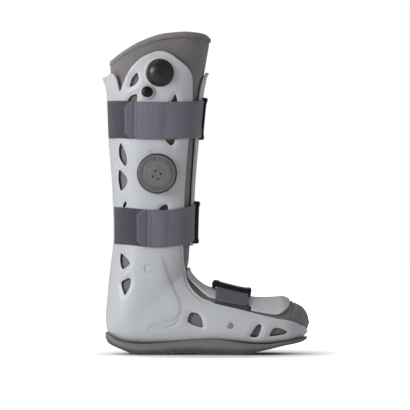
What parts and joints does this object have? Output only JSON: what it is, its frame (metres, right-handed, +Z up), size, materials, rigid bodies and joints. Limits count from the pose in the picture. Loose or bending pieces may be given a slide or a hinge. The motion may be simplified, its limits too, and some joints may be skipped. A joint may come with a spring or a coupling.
{
  "type": "medical walking boot",
  "caption": "Tall walking boot brace: vented hard shell over an open padded liner, with straps, air pump hardware and a rocker sole.",
  "frame": {"origin": "on the ground under the middle of the sole's flat heel patch, in the boot's mid-plane", "axes": "+X from heel to toe, +Y to the inner side of the leg, away from the pump and dial, +Z up the leg"},
  "size_m": [0.2805, 0.1486, 0.4346],
  "materials": {
    "shell": "satin moulded plastic",
    "liner": "brushed laminated foam fabric",
    "binding": "folded woven binding",
    "sole": "matt moulded rubber",
    "strap": "woven webbing",
    "strap_tab": "ribbed webbing tab",
    "loop_patch": "brushed loop pile",
    "keeper": "glossy black plastic",
    "dial_base": "satin dark plastic",
    "dial": "satin grey plastic",
    "bulb": "satin black rubber",
    "rivet": "satin grey"
  },
  "bodies": {
    "boot": {"base_shell": "shell", "shin_panel": "shell", "instep_panel": "shell", "release_collar": "shell", "liner": "liner", "liner_binding": "binding", "rocker_sole": "sole", "upper_strap": "strap", "upper_strap_tab": "strap_tab", "upper_loop_patch": "loop_patch", "upper_keeper": "keeper", "lower_strap": "strap", "lower_strap_tab": "strap_tab", "lower_loop_patch": "loop_patch", "lower_keeper": "keeper", "foot_strap": "strap", "foot_strap_tab": "strap_tab", "foot_loop_patch": "loop_patch", "foot_keeper": "keeper", "dial_base": "dial_base", "pump_bulb": "bulb", "rivet_outer": "rivet", "rivet_inner": "rivet"},
    "dial": {"selector_dial": "dial"},
    "button": {"release_button": "keeper"}
  },
  "joints": [
    {"name": "dial_turn", "type": "hinge", "parent": "boot", "child": "dial", "pos_m": [0.0079, -0.066, 0.2443], "axis": [0, -1, 0], "range_deg": [-90, 90]},
    {"name": "button_press", "type": "slide", "parent": "boot", "child": "button", "axis": [0, 1, 0], "range_m": [0, 0.0018], "stiffness_N_per_m": 400}
  ]
}
